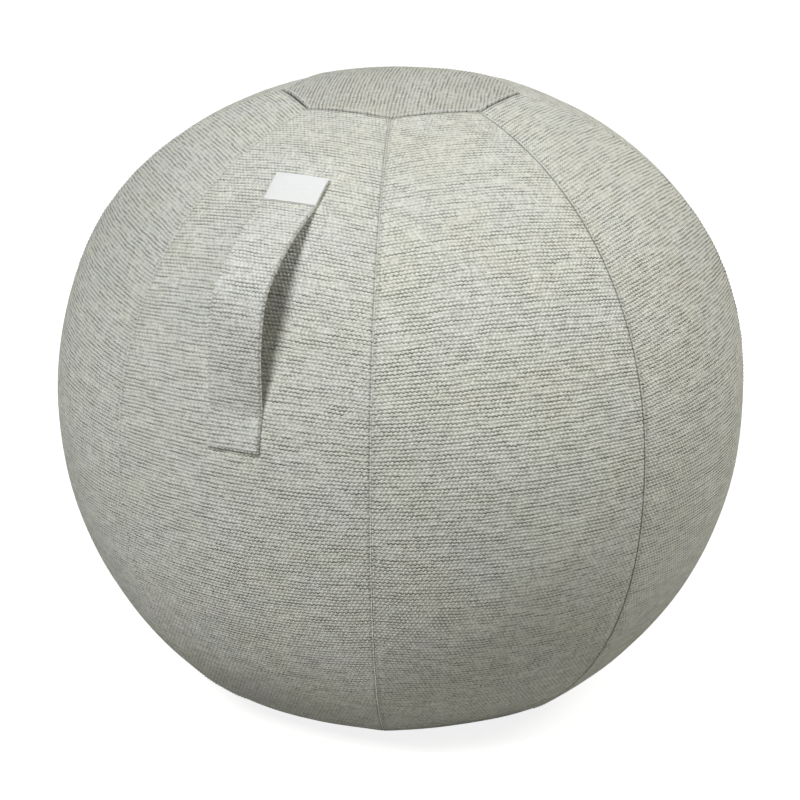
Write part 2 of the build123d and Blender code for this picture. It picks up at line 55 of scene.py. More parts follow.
TOP_DOME_RISE = 0.014
BASE_RIM_RADIUS = 0.188
CROWN_FLATNESS = 0.30
CROWN_FLAT_REACH = 0.150
KEEL_FLATNESS = 0.35
KEEL_FLAT_REACH = 0.270
FABRIC = 0.0017
TOP_HEM = 0.010
PANEL_HEM = 0.0085         # cloth turned in behind a panel's edge
SEAM_GAP = 0.0003
FLOOR_STACK = 0.0133       # height of the base panel's underside, where the ring tunnel is sewn on
BASE_INSET = 0.0025        # how far the base panel's edge is hidden inside the gores
BASE_CLEARANCE = 0.0003    # kept between the base panel and the layers over and under it

# Carry strap, by distances up the middle of its panel from the equator
STRAP_WIDTH = 0.050
STRAP_THICKNESS = 0.0032
STRAP_START = 0.041
STRAP_LIFT = 0.076
STRAP_PEAK = 0.165
STRAP_LAND = 0.260
STRAP_END = 0.291
STRAP_OFFSET = 0.0045
STRAP_RISE = 0.028
STRAP_ROOT_PULL = 0.034
STRAP_ROOT_LIFT = 0.014
STRAP_PEAK_PULL = 0.022
STRAP_FIT = 0.0002
STRAP_SQUARENESS = 4       # 2 would make its folded edges round
LABEL_HEIGHT = 0.030
LABEL_THICKNESS = 0.0006
LABEL_OVERHANG = 0.0003    # past the strap's edges
LABEL_FIT = 0.0002

# Zip in a rear seam, by heights from the equator and distances across and below the seam
ZIP_PANEL = 4              # the zip is between this panel and the next
ZIP_SEAM = radians(157.5)
ZIP_TOP = 0.030
ZIP_BOTTOM = -0.200
ZIP_HALF_SLOT = 0.0065
ZIP_SLOT_TAPER = 0.008
ZIP_TAPE_DEPTH = 0.0040
ZIP_TAPE = 0.0006
ZIP_TAPE_EDGE = 0.0017
ZIP_TAPE_WIDTH = 0.0093
ZIP_TAPE_OVERRUN = 0.010
ZIP_CORD = 0.0014          # width of the corded edge beside the teeth

# Floor ring's tunnel
RING_PATH_RADIUS = 0.120
RING_ROOM = 0.0063
TUNNEL_WALL = 0.0012
TUNNEL_FLANGE = 0.009
TUNNEL_GATHERS = 72
TUNNEL_GATHER_DEPTH = 0.00035

# How the cloth is sewn
SEAM_ROLL = 0.0006         # radius at which cloth turns in to a seam
STITCH_LINE = 0.0006       # from a seam to the thread beside it
SEAM_LINE = 0.0019         # from a seam to the sewn line beside it
SEAM_LINE_WIDTH = 0.0006
SEAM_LINE_DEPTH = 0.0007
DRAWN_IN = {1: 0.5, 2: 1.0, 8: 0.2}    # how hard the sewn line at these panels' right edges is drawn in, in depth and in painted shade
OTHER_DRAWN_IN = 0.6       # the same at the right edges of the other panels
LEFT_DRAWN_IN = 0.25       # the same at left edges
GATHER_DEPTH = 0.00055     # small gathers beside the seams
GATHER_REACH = 0.011
GATHER_RATE = 95           # per metre
WAVE_DEPTH = 0.0009        # slow waves in the open cloth
WAVE_REACH = 0.02
WAVE_RATE_ACROSS = 16
WAVE_RATE_ALONG = 13
TOP_OVERLAP = 0.0008       # how far the top panel's edge stands over the gores
TOP_LINE_WIDTH = 0.0008    # painted shadow line on the gores under that edge
TOP_PAINTED_SHADE = 0.22           # painted shade that makes the whole top darker than the gores
TOP_GRAIN = radians(-69.3)
STRAP_CREASE_PAINTED_SHADE = 0.5         # how dark the painted shade is in the strap's crease and along its fold line
STRAP_CREASE_WIDTH = 0.0012
STRAP_FOLD_LINE = 0.0008   # painted shade line along the fold, this far from the strap's right edge
STITCH_PITCH = 0.0040
STITCH_LENGTH = 0.0030
STRAP_STITCH_PITCH = 0.0036
STRAP_STITCH_ROW = 0.003   # from the strap's lower end
STRAP_STITCH_EDGE = 0.001  # from the strap's sides, and from where it leaves the cover
THREAD_RADIUS = 0.00042
STITCH_BOW = 0.8 * THREAD_RADIUS
STITCH_SIDES = 6
STITCH_PROFILE = (         # shares of a stitch's length, of the thread's radius and of the bow
    (0, 0.5, -0.6),
    (0.14, 0.9, 0.3),
    (0.5, 1, 1),
    (0.86, 0.9, 0.3),
    (1, 0.5, -0.6),
)

# Weave of the upholstery
WEFT_PITCH = 0.0033
WARP_PITCH = 0.0018
SLUB = 0.82                # unevenness of its yarn
WEAVE_DEPTH = 0.0009
PANEL_CUT = 0.31           # how far apart on the cloth the panels are cut

HALF_ANGLE = pi / PANEL_COUNT
HALF_SHARE = 1 - cos(HALF_ANGLE)
SHORT_STEP = 0.001         # for finding a direction


# Shape of the cover

def smooth_step(value):
    """0 below 0, 1 above 1 and an even rise between."""
    value = min(max(value, 0), 1)
    return value * value * (3 - 2 * value)


def spread(first, last, count):
    """Evenly spaced values from first to last."""
    return [first + (last - first) * step / (count - 1) for step in range(count)]


def ripple(x, y, rate, seed, depth):
    """Small uneven height of cloth at a place."""
    return noise.noise(Vector((x * rate, y * rate, seed))) * depth


def seam_angle(radius, fullness):
    """Angle of the seam curve, 0 at the equator, where it has come in to this radius."""
    return acos((radius / EQUATOR_RADIUS) ** (fullness / 2))


def seam_point(turn):
    """Radius and height above the equator of a seam at an angle that is positive above the equator."""
    height, fullness = (CROWN_HEIGHT, CROWN_FULLNESS) if turn > 0 else (-KEEL_DEPTH, KEEL_FULLNESS)
    return EQUATOR_RADIUS * cos(turn) ** (2 / fullness), height * abs(sin(turn)) ** (2 / fullness)


TOP_TURN = seam_angle(TOP_RIM_RADIUS, CROWN_FULLNESS)
BASE_TURN = -seam_angle(BASE_RIM_RADIUS, KEEL_FULLNESS)
BASE_TOP = FLOOR_STACK + FABRIC
EQUATOR_Z = BASE_TOP - seam_point(BASE_TURN)[1]


def flatness(height):
    """How much flatter than the seams' circle a panel is at a height above the equator."""
    if height > 0:
        return CROWN_FLATNESS * smooth_step(height / CROWN_FLAT_REACH)
    return KEEL_FLATNESS * smooth_step(-height / KEEL_FLAT_REACH)


def station(turn):
    """Middle of the chord between the seams of the panel that faces -Y, its normal, half chord and bulge."""
    radius, height = seam_point(turn)
    limit, fullness = (CROWN_HEIGHT, CROWN_FULLNESS) if turn > 0 else (KEEL_DEPTH, KEEL_FULLNESS)
    outward = (radius / EQUATOR_RADIUS) ** (fullness - 1) / (EQUATOR_RADIUS * cos(HALF_ANGLE))
    upward = (abs(height) / limit) ** (fullness - 1) / limit
    normal = Vector((0, -outward, upward if turn > 0 else -upward)).normalized()
    bulge = (1 - flatness(height)) * radius * HALF_SHARE * -normal.y
    middle = Vector((0, -radius * cos(HALF_ANGLE), EQUATOR_Z + height))
    return middle, normal, radius * sin(HALF_ANGLE), bulge


def arc_height(across, half_width, rise):
    """Height above its chord of an arc of the given half width and rise, at a distance from its middle."""
    radius = (half_width**2 + rise**2) / (2 * rise)
    return rise - radius + sqrt(max(radius**2 - across**2, 0))


class Distances:
    """Distance along a line, against the value that draws it."""

    def __init__(self, draw, first, last, count=1500):
        self.values = spread(first, last, count)
        points = [draw(value) for value in self.values]
        self.along = [0]
        for before, after in zip(points, points[1:]):
            self.along.append(self.along[-1] + (after - before).length)

    def at(self, value):
        """Distance from the line's start for a drawing value."""
        step = (value - self.values[0]) / (self.values[1] - self.values[0])
        index = min(max(int(step), 0), len(self.values) - 2)
        return self.along[index] + (self.along[index + 1] - self.along[index]) * (step - index)

    def value(self, distance):
        """Drawing value at a distance from the line's start."""
        low, high = 0, len(self.along) - 1
        while high - low > 1:
            half = (low + high) // 2
            low, high = (half, high) if self.along[half] <= distance else (low, half)
        part = (distance - self.along[low]) / (self.along[high] - self.along[low])
        return self.values[low] + (self.values[high] - self.values[low]) * part


def middle_point(turn):
    """Point on the middle line of the panel that faces -Y."""
    middle, normal, _, bulge = station(turn)
    return middle + normal * bulge


MIDDLE_LINE = Distances(middle_point, BASE_TURN, TOP_TURN)
EQUATOR_DISTANCE = MIDDLE_LINE.at(0)

# Ends of a panel, by distances up its middle from the equator
TOP_DISTANCE = MIDDLE_LINE.along[-1] - EQUATOR_DISTANCE
BASE_DISTANCE = -EQUATOR_DISTANCE


def turn_at(distance):
    """Angle of the seam curve at a distance up the panel's middle from the equator."""
    return MIDDLE_LINE.value(distance + EQUATOR_DISTANCE)


def turned(point, panel):
    """A point of the panel that faces -Y, moved to the panel of that number."""
    return Matrix.Rotation(2 * HALF_ANGLE * (panel - 1), 3, "Z") @ point


# Making pieces

class Skin:
    """Points, faces and cloth places of a piece, gathered from closed loops of (point, place)."""

    def __init__(self):
        self.points = []
        self.faces = []
        self.corners = []
        self.caps = []

    def loft(self, loops, joined=None):
        """Faces between loops in turn. The ends close, or join where the cloth's distance round is given."""
        count = len(loops[0])
        first = len(self.points)
        last = len(loops) - 1
        for loop in loops:
            self.points += [point for point, place in loop]

        def face(corners):
            self.faces.append([first + row * count + column for row, column, place in corners])
            self.corners.append([place for row, column, place in corners])

        def corner(row, column):
            return row, column, loops[row][column][1]

        def corner_past_join(column):
            along, across = loops[0][column][1]
            return 0, column, (along + joined, across)

        for row in range(last):
            for column in range(count):
                after = (column + 1) % count
                lower = [corner(row, column), corner(row, after)]
                face([*lower, corner(row + 1, after), corner(row + 1, column)])
        if joined is None:
            self.caps += [len(self.faces), len(self.faces) + 1]
            face([corner(0, column) for column in reversed(range(count))])
            face([corner(last, column) for column in range(count)])
            return
        for column in range(count):
            after = (column + 1) % count
            lower = [corner(last, column), corner(last, after)]
            face([*lower, corner_past_join(after), corner_past_join(column)])

    def stitch(self, start, end, out):
        """One stitch of thread from start to end, bowed out in its middle and tucked in at its ends."""
        along = end - start
        side = along.cross(out).normalized()
        loops = []
        for part, size, lift in STITCH_PROFILE:
            centre = start + along * part + out * STITCH_BOW * lift
            loop = []
            for angle in spread(0, 2 * pi, STITCH_SIDES + 1)[:-1]:
                ring = (side * cos(angle) + out * sin(angle)) * THREAD_RADIUS * size
                loop.append((centre + ring, (part * along.length, angle * THREAD_RADIUS)))
            loops.append(loop)
        self.loft(loops)

    def stitch_row(self, place, length, pitch=STITCH_PITCH):
        """Stitches along a line. place gives the point and the outward direction at a distance along it."""
        share = STITCH_LENGTH / STITCH_PITCH
        count = int(length / pitch)
        room = length / count
        for index in range(count):
            start, out = place((index + (1 - share) / 2) * room)
            end, _ = place((index + (1 + share) / 2) * room)
            self.stitch(start, end, out)

    def add(self, name, material, slot, body="cover", painted_shades=None):
        """A smooth mesh piece. The last argument gives each point's painted shade."""
        mesh = bpy.data.meshes.new(name)
        mesh.from_pydata(self.points, [], self.faces)
        layer = mesh.uv_layers.new(name="weave")
        places = [place for face in self.corners for place in face]
        for index, place in enumerate(places):
            layer.data[index].uv = place
        # Painted shade, kept on the points for the cloth's colour
        if painted_shades:
            mesh.attributes.new("painted_shade", "FLOAT", "POINT").data.foreach_set("value", painted_shades)
        mesh.shade_smooth()
        for index in self.caps:
            for corner in mesh.polygons[index].loop_indices:
                mesh.edges[mesh.loops[corner].edge_index].use_edge_sharp = True
        mesh.materials.append(material)
        piece = bpy.data.objects.new(name, mesh)
        bpy.context.scene.collection.objects.link(piece)
        if body:
            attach(piece, body)
        return piece


# Materials

class Nodes:
    """A node tree. Each method adds nodes and gives what they put out."""

    def __init__(self, tree):
        self.tree = tree

    def add(self, kind, inputs, **settings):
        node = self.tree.nodes.new(kind)
        for name, setting in settings.items():
            setattr(node, name, setting)
        self.fill(node, inputs)
        return node

    def fill(self, node, inputs):
        """Link or set a node's inputs."""
        for name, value in inputs.items():
            if isinstance(value, bpy.types.NodeSocket):
                self.tree.links.new(value, node.inputs[name])
            else:
                node.inputs[name].default_value = value

    def math(self, operation, first, second=0.0):
        return self.add("ShaderNodeMath", {0: first, 1: second}, operation=operation).outputs[0]

    def plus(self, first, second):
        return self.math("ADD", first, second)

    def minus(self, first, second):
        return self.math("SUBTRACT", first, second)

    def times(self, first, second):
        return self.math("MULTIPLY", first, second)

    def wave(self, place, period):
        """Cosine of a place, from -1 to 1."""
        return self.math("COSINE", self.times(place, 2 * pi / period))

    def count(self, rounding, place, pitch):
        """Whole number of pitches at a place."""
        return self.math(rounding, self.math("DIVIDE", place, pitch))

    def vector(self, x, y):
        return self.add("ShaderNodeCombineXYZ", {"X": x, "Y": y}).outputs[0]

    def noise(self, vector, scale, detail=2.0, roughness=0.5):
        inputs = {"Vector": vector, "Scale": scale, "Detail": detail, "Roughness": roughness}
        return self.add("ShaderNodeTexNoise", inputs).outputs["Fac"]

    def ramp(self, value, low, high, to_low=0.0, to_high=1.0):
        inputs = {"Value": value, "From Min": low, "From Max": high, "To Min": to_low, "To Max": to_high}
        return self.add("ShaderNodeMapRange", inputs).outputs["Result"]

    def mix(self, factor, first, second):
        """Mix of two colours, which are the node's inputs 6 and 7."""
        inputs = {"Factor": factor}
        for index, colour in ((6, first), (7, second)):
            inputs[index] = colour if isinstance(colour, bpy.types.NodeSocket) else (*colour, 1)
        return self.add("ShaderNodeMix", inputs, data_type="RGBA").outputs[2]

    def cloth_place(self):
        """Place on the cloth, and its distances across and along the piece, in metres."""
        place = self.add("ShaderNodeUVMap", {}, uv_map="weave").outputs["UV"]
        parts = self.add("ShaderNodeSeparateXYZ", {"Vector": place})
        return place, parts.outputs["X"], parts.outputs["Y"]

    def object_place(self):
        return self.add("ShaderNodeTexCoord", {}).outputs["Object"]

    def bump(self, height, distance):
        return self.add("ShaderNodeBump", {"Height": height, "Distance": distance}).outputs["Normal"]

    def seen(self):
        """1 for rays that look at a thing, and 0 for those that it lights."""
        paths = self.add("ShaderNodeLightPath", {}).outputs
        seen = paths["Is Camera Ray"]
        for kind in ("Is Glossy Ray", "Is Transmission Ray"):
            seen = self.math("MAXIMUM", seen, paths[kind])
        return seen


class Shader(Nodes):
    """A node material."""

    def __init__(self, name):
        self.material = bpy.data.materials.new(name)
        self.material.use_nodes = True
        super().__init__(self.material.node_tree)

    def finish(self, **inputs):
        """The material, with these inputs of its surface."""
        surface = self.tree.nodes["Principled BSDF"]
        self.fill(surface, {name.replace("_", " "): value for name, value in inputs.items()})
        return self.material


def woven(name, light, dark, weft, warp, slub, depth):
    """Plain weave: rows of weft over and under the warp, parted by thin wavy shadows of uneven strength."""
    shader = Shader(name)
    place, across, along = shader.cloth_place()

    # Rows wander a little, and swing as they pass over and under the warp
    drift = shader.times(shader.noise(place, 45.0), 0.9 * weft)
    unrest = shader.times(shader.noise(place, 1.3 / weft), 0.3 * weft)
    level = shader.plus(along, shader.plus(drift, unrest))
    over = shader.wave(across, 2 * warp)
    swing = shader.times(over, shader.wave(level, 2 * weft))
    row_place = shader.plus(level, shader.times(swing, 0.20 * weft))
    row = shader.count("ROUND", row_place, weft)

    # The shadow between two rows comes and goes along them
    run = shader.vector(shader.times(across, 0.38), shader.times(row, 0.37))
    streak = shader.ramp(shader.noise(run, 120.0, 3.0), 0.36, 0.65, 1 - slub, 1.0)
    between = shader.wave(row_place, weft)
    shadow = shader.times(shader.ramp(between, 0.3, 1.0), streak)

    # Tone of the yarn: flecks at the crossings, fuzz, and warp ends that differ
    end = shader.count("FLOOR", across, warp)
    fleck = shader.add("ShaderNodeTexWhiteNoise", {"Vector": shader.vector(end, row)}).outputs["Value"]
    ply = shader.noise(shader.vector(shader.times(end, 0.53), shader.times(along, 0.5)), 150.0)
    fuzz = shader.noise(place, 1000.0)
    tone = shader.ramp(fleck, 0, 1, 1 - 0.3 * slub, 1.0)
    tone = shader.plus(tone, shader.ramp(fuzz, 0.3, 0.7, -0.26, 0.26))
    tone = shader.plus(tone, shader.ramp(ply, 0.3, 0.7, -0.12 * slub, 0.12 * slub))
    tone = shader.minus(tone, shadow)

    # Colour: warmer in patches, and painted shade where the point attribute gives it: in the sewn lines, under
    # the top's edge, over the whole top, and in the strap's crease and fold
    patch = shader.ramp(shader.noise(place, 16.0, 3.0), 0.35, 0.65)
    yarn = shader.mix(patch, light, (light[0], 0.995 * light[1], 0.95 * light[2]))
    painted_shade = shader.add("ShaderNodeAttribute", {}, attribute_name="painted_shade").outputs["Fac"]
    # Painted shade mixes toward this darker colour
    shade_colour = [0.6 * part for part in dark]
    colour = shader.mix(shader.times(painted_shade, 0.8), shader.mix(tone, dark, yarn), shade_colour)

    # Relief
    knots = shader.times(over, shader.wave(shader.minus(level, weft / 2), 2 * weft))
    height = shader.minus(shader.times(knots, 0.22), shader.times(between, 0.22))
    height = shader.minus(height, shader.times(shadow, 0.5))
    height = shader.plus(height, shader.times(fuzz, 0.6))
    return shader.finish(
        Base_Color=colour,
        Roughness=shader.ramp(tone, 0, 1, 0.98, 0.86),
        Normal=shader.bump(height, depth),
        Sheen_Weight=0.02,
        Specular_IOR_Level=0.15,
    )


def thread_material():
    """Two-ply sewing thread."""
    shader = Shader("sewing_thread")
    _, along, round_it = shader.cloth_place()
    ply = shader.wave(shader.plus(along, shader.times(round_it, 0.7)), 0.0007)
    shade = shader.noise(shader.object_place(), 300.0)
    return shader.finish(
        Base_Color=shader.mix(shader.ramp(shade, 0.3, 0.7), (0.70, 0.70, 0.64), (0.84, 0.83, 0.77)),
        Roughness=shader.ramp(ply, -1, 1, 0.8, 0.55),
        Normal=shader.bump(ply, 0.0001),
        Sheen_Weight=0.2,
    )


def moulded(name, colour, rough, grain):
    """Moulded plastic or vinyl with a fine grain and slight rubbing."""
    shader = Shader(name)
    place = shader.object_place()
    skin = shader.noise(place, 2200.0, 3.0)
    rubbed = shader.noise(place, 60.0, 4.0)
    worn = [min(1.0, 0.03 + 1.25 * part) for part in colour]
    return shader.finish(
        Base_Color=shader.mix(shader.ramp(rubbed, 0.45, 0.75), colour, worn),
        Roughness=shader.ramp(rubbed, 0.3, 0.7, rough, rough + 0.18),
        Normal=shader.bump(skin, grain),
    )


def plated_metal():
    """Nickel-plated die casting, brushed and a little scuffed."""
    shader = Shader("zip_nickel")
    place = shader.object_place()
    stretched = shader.add("ShaderNodeMapping", {"Vector": place, "Scale": (6.0, 6.0, 0.5)}).outputs[0]
    brushed = shader.noise(stretched, 900.0, 3.0)
    scuffs = shader.noise(place, 400.0, 5.0, 0.7)
    return shader.finish(
        Base_Color=shader.mix(shader.ramp(scuffs, 0.45, 0.7), (0.62, 0.60, 0.57), (0.42, 0.41, 0.39)),
        Metallic=1.0,
        Roughness=shader.ramp(brushed, 0.3, 0.7, 0.24, 0.42),
        Normal=shader.bump(brushed, 0.00003),
    )


UPHOLSTERY = (WEFT_PITCH, WARP_PITCH, SLUB, WEAVE_DEPTH)
COVER_WEAVE = woven("cover_weave", (0.78, 0.78, 0.725), (0.085, 0.085, 0.060), *UPHOLSTERY)
STRAP_WEAVE = woven("strap_weave", (0.79, 0.79, 0.748), (0.080, 0.081, 0.064), *UPHOLSTERY)
LABEL_CLOTH = woven("label_cloth", (0.82, 0.825, 0.83), (0.62, 0.625, 0.63), 0.0008, 0.0005, 0.40, 0.00012)
BASE_CLOTH = woven("base_cloth", (0.075, 0.076, 0.078), (0.025, 0.025, 0.027), 0.0016, 0.0010, 0.50, 0.0004)
TAPE_CLOTH = woven("zip_tape", (0.52, 0.52, 0.47), (0.24, 0.24, 0.21), 0.0010, 0.0006, 0.30, 0.0002)
THREAD = thread_material()
RING_PLASTIC = moulded("ring_plastic", (0.05, 0.05, 0.055), 0.42, 0.00005)
BALL_VINYL = moulded("ball_vinyl", (0.36, 0.37, 0.38), 0.45, 0.00012)
PLUG_PLASTIC = moulded("plug_plastic", (0.70, 0.70, 0.68), 0.38, 0.00003)
ZIP_PLASTIC = moulded("zip_plastic", (0.50, 0.50, 0.45), 0.40, 0.00003)
ZIP_METAL = plated_metal()


# Gore panels

# Distances from a panel's edge, and shares of its height, at which its mesh has a column or a row
EDGE_STEPS = [0, 0.0002, STITCH_LINE, 0.0013, SEAM_LINE, 0.0025, 0.0035, 0.0055, PANEL_HEM, 0.0130]
BODY_STEPS = 23
COLUMNS = 2 * len(EDGE_STEPS) - 1 + BODY_STEPS
ROWS = [0, 0.001, 0.003, 0.006] + spread(0.012, 0.988, 96) + [0.994, 0.997, 0.9985, 0.9995, 1]


def roll_in(distance):
    """How far cloth has turned in at a distance from its seam."""
    turned_in = min(max(SEAM_ROLL - distance, 0), SEAM_ROLL)
    return SEAM_ROLL - sqrt(SEAM_ROLL**2 - turned_in**2)


def slot_width(panel, sign, height):
    """How far the edge of a panel stands back from its seam beside the zip."""
    if (panel, sign) not in ((ZIP_PANEL, 1), (ZIP_PANEL + 1, -1)):
        return 0
    above = smooth_step((ZIP_TOP + ZIP_SLOT_TAPER - height) / ZIP_SLOT_TAPER)
    below = smooth_step((height - ZIP_BOTTOM + ZIP_SLOT_TAPER) / ZIP_SLOT_TAPER)
    return ZIP_HALF_SLOT * above * below


def sewn_line(panel, sign, distance):
    """How much the sewn line beside a panel's right (1) or left (-1) edge is drawn in, as depth and as painted
    shade, at a distance from it.
    """
    drawn = DRAWN_IN.get(panel, OTHER_DRAWN_IN) if sign > 0 else LEFT_DRAWN_IN
    return drawn * exp(-(((distance - SEAM_LINE) / SEAM_LINE_WIDTH) ** 2))


def pucker(panel, sign, distance, along):
    """Small gathers beside a seam, slow waves in the open cloth, and the sewn line."""
    seam = panel + (1 if sign > 0 else 0)
    gathers = noise.noise(Vector((along * GATHER_RATE, seam * 7.7, 0))) * GATHER_DEPTH
    gathers *= exp(-distance / GATHER_REACH)
    waves = noise.noise(Vector((distance * WAVE_RATE_ACROSS * sign, along * WAVE_RATE_ALONG, panel * 3.1)))
    waves *= WAVE_DEPTH * smooth_step(distance / WAVE_REACH)
    return gathers + waves - SEAM_LINE_DEPTH * sewn_line(panel, sign, distance)


def panel_across(panel, turn, column):
    """Distance across a panel, and from its nearer edge, of a column of its mesh."""
    room = station(turn)[2] - SEAM_GAP / 2 / cos(HALF_ANGLE)
    height = seam_point(turn)[1]
    left, right = (room - slot_width(panel, sign, height) for sign in (-1, 1))
    last = len(EDGE_STEPS) - 1
    if column <= last:
        return -left + EDGE_STEPS[column], EDGE_STEPS[column]
    if column >= last + BODY_STEPS:
        step = EDGE_STEPS[COLUMNS - 1 - column]
        return right - step, step
    part = (column - last) / BODY_STEPS
    across = -left + EDGE_STEPS[-1] + (left + right - 2 * EDGE_STEPS[-1]) * part
    return across, min(across + left, right - across)


def panel_surface(panel, distance, column, inset=0.0):
    """Point of a panel's outside, or one below it by inset, and its place on the cloth."""
    turn = turn_at(distance)
    middle, normal, half_chord, bulge = station(turn)
    across, edge = panel_across(panel, turn, column)
    sign = 1 if across > 0 else -1
    out = arc_height(across, half_chord, bulge) + pucker(panel, sign, edge, distance) - inset
    ends = min(TOP_DISTANCE - distance, edge)
    lean = sign * inset * tan(HALF_ANGLE) * -normal.y
    point = middle + Vector((across - lean, 0, 0)) + normal * (out - roll_in(ends))
    return point, (across + PANEL_CUT * panel, distance)


def column_start(panel, column):
    """Distance along a column at which it comes down to the base panel."""
    low, high = BASE_DISTANCE, BASE_DISTANCE + 0.05
    for _ in range(24):
        half = (low + high) / 2
        if panel_surface(panel, half, column)[0].z < BASE_TOP:
            low = half
        else:
            high = half
    return high


def panel_lining():
    """Columns and depths of a panel's inside from its right edge to its left: hem, back of the cloth, hem."""
    last = COLUMNS - 1
    turned_under = EDGE_STEPS.index(PANEL_HEM)
    hem = [(0, 2 * FABRIC), (turned_under, 2 * FABRIC), (turned_under, FABRIC)]
    back = [(column, FABRIC) for column in range(turned_under + 3, last - turned_under - 2, 4)]
    return [(last - column, depth) for column, depth in hem] + back[::-1] + hem[::-1]


LINING = panel_lining()


def panel_loop(panel, starts, share):
    """Loop round a panel's cloth, outside and inside, at a share of the way up from its columns' starts."""
    distances = [start + (TOP_DISTANCE - start) * share for start in starts]
    loop = [panel_surface(panel, distance, column) for column, distance in enumerate(distances)]
    loop += [panel_surface(panel, distances[column], column, depth) for column, depth in LINING]
    return [(turned(point, panel), place) for point, place in loop]


def panel_painted_shades(panel):
    """Painted shade of each point of a panel: in its sewn lines, and a painted shadow under the edge of the
    top.
    """
    lines = []
    for column in range(COLUMNS):
        across, edge = panel_across(panel, 0, column)
        lines.append(sewn_line(panel, across, edge))
    painted_shades = []
    for share in ROWS:
        # Painted shadow on the gores under the top's raised edge
        top_edge_shadow = exp(-(((1 - share) * TOP_DISTANCE / TOP_LINE_WIDTH) ** 2))
        painted_shades += [max(line, top_edge_shadow) for line in lines] + [0] * len(LINING)
    return painted_shades


def make_panel(panel):
    """One gore with its edges rolled in to the seams and its hems turned in behind them."""
    starts = [column_start(panel, column) for column in range(COLUMNS)]
    loops = [panel_loop(panel, starts, share) for share in ROWS]
    skin = Skin()
    skin.loft(loops)
    piece = skin.add(f"cover_cloth_{panel}", COVER_WEAVE, "cover_weave", painted_shades=panel_painted_shades(panel))
    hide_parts(f"cover_panel_{panel}")


def stitch_column(skin, panel, column):
    """Thread along a column of a panel, from the base to the top."""
    start = column_start(panel, column) + STITCH_PITCH

    def place(distance):
        along = start + distance
        point, above = (panel_surface(panel, along, column, inset)[0] for inset in (0, -SHORT_STEP))
        return turned(point, panel), turned((above - point).normalized(), panel)

    skin.stitch_row(place, TOP_DISTANCE - STITCH_PITCH - start)


def make_seam_stitches(panel):
    """Thread beside the seam at a panel's right edge. The panel after the zip has it at both edges."""
    step = EDGE_STEPS.index(STITCH_LINE)
    skin = Skin()
    stitch_column(skin, panel, COLUMNS - 1 - step)
    if panel == ZIP_PANEL + 1:
        stitch_column(skin, panel, step)
    skin.add(f"seam_stitches_{panel}", THREAD, "cover_weave")


# Top and base panels

RIM_COLUMNS = 16 * PANEL_COUNT


def side_radius(angle, middle, corner_bow=0.0):
    """Radius of an eight-sided outline at an angle from the middle of the side that faces -Y."""
    local = (angle + HALF_ANGLE) % (2 * HALF_ANGLE) - HALF_ANGLE
    return middle / cos(local) * (1 - corner_bow * (1 - cos(local * PANEL_COUNT / 2) ** 2))


def ring_loop(radius_at, height_at, grain):
    """Closed loop round the axis. grain turns its place on the cloth."""
    loop = []
    for column in range(RIM_COLUMNS):
        angle = 2 * pi * column / RIM_COLUMNS
        radius = radius_at(angle)
        x, y = radius * sin(angle), -radius * cos(angle)
        place = (x * cos(grain) + y * sin(grain), y * cos(grain) - x * sin(grain))
        loop.append((Vector((x, y, height_at(x, y))), place))
    return loop


# The top, from the axis to the middle of a side, its dome, and the size of its innermost loop
TOP_MIDDLE = TOP_RIM_RADIUS * cos(HALF_ANGLE) - SEAM_GAP
TOP_DOME_RADIUS = (TOP_RIM_RADIUS**2 + TOP_DOME_RISE**2) / (2 * TOP_DOME_RISE)
TOP_DOME_Z = station(TOP_TURN)[0].z + TOP_DOME_RISE + TOP_OVERLAP - TOP_DOME_RADIUS
TOP_HUB = 0.004


def top_height(x, y):
    """Height of the top's outside."""
    return TOP_DOME_Z + sqrt(TOP_DOME_RADIUS**2 - x * x - y * y) + ripple(x, y, 22, 5.5, 0.0007)


def top_loop(middle, inset):
    """Loop of the top whose sides are this far from the axis, below its outside by inset."""
    return ring_loop(
        lambda angle: side_radius(angle, middle),
        lambda x, y: top_height(x, y) - inset,
        TOP_GRAIN,
    )


def top_rim(angle):
    """Point on the sewn line round the top."""
    radius = side_radius(angle, TOP_MIDDLE - SEAM_LINE)
    x, y = radius * sin(angle), -radius * cos(angle)
    return Vector((x, y, top_height(x, y)))


def make_top_cloth():
    """Eight-cornered dome over the ends of the gores. Its weave runs from front to back."""
    shares = (0.042, 0.208, 0.417, 0.625, 0.781, 0.885, 0.958, 1)
    outside = [share * (TOP_MIDDLE - TOP_HUB) for share in shares]
    outside += [TOP_MIDDLE - step for step in (0.0024, 0.0012, 0.0007, 0.0003, 0)]
    loops = [top_loop(middle, roll_in(TOP_MIDDLE - middle)) for middle in outside]
    hem = TOP_MIDDLE - TOP_HEM
    loops += [top_loop(middle, 2 * FABRIC) for middle in (TOP_MIDDLE - 0.0005, hem)]
    loops += [top_loop(middle, FABRIC) for middle in (hem, TOP_MIDDLE / 2, TOP_HUB)]
    skin = Skin()
    skin.loft(loops)
    # Painted shade over the whole top, darker than the gores
    top_painted_shades = [TOP_PAINTED_SHADE] * len(skin.points)
    piece = skin.add("top_cloth", COVER_WEAVE, "cover_weave", painted_shades=top_painted_shades)
    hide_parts("top_panel")
    line = Distances(top_rim, 0, 2 * pi)
    stitches = Skin()
    stitches.stitch_row(lambda distance: (top_rim(line.value(distance)), Vector((0, 0, 1))), line.along[-1])
    stitches.add("top_stitches", THREAD, "cover_weave")


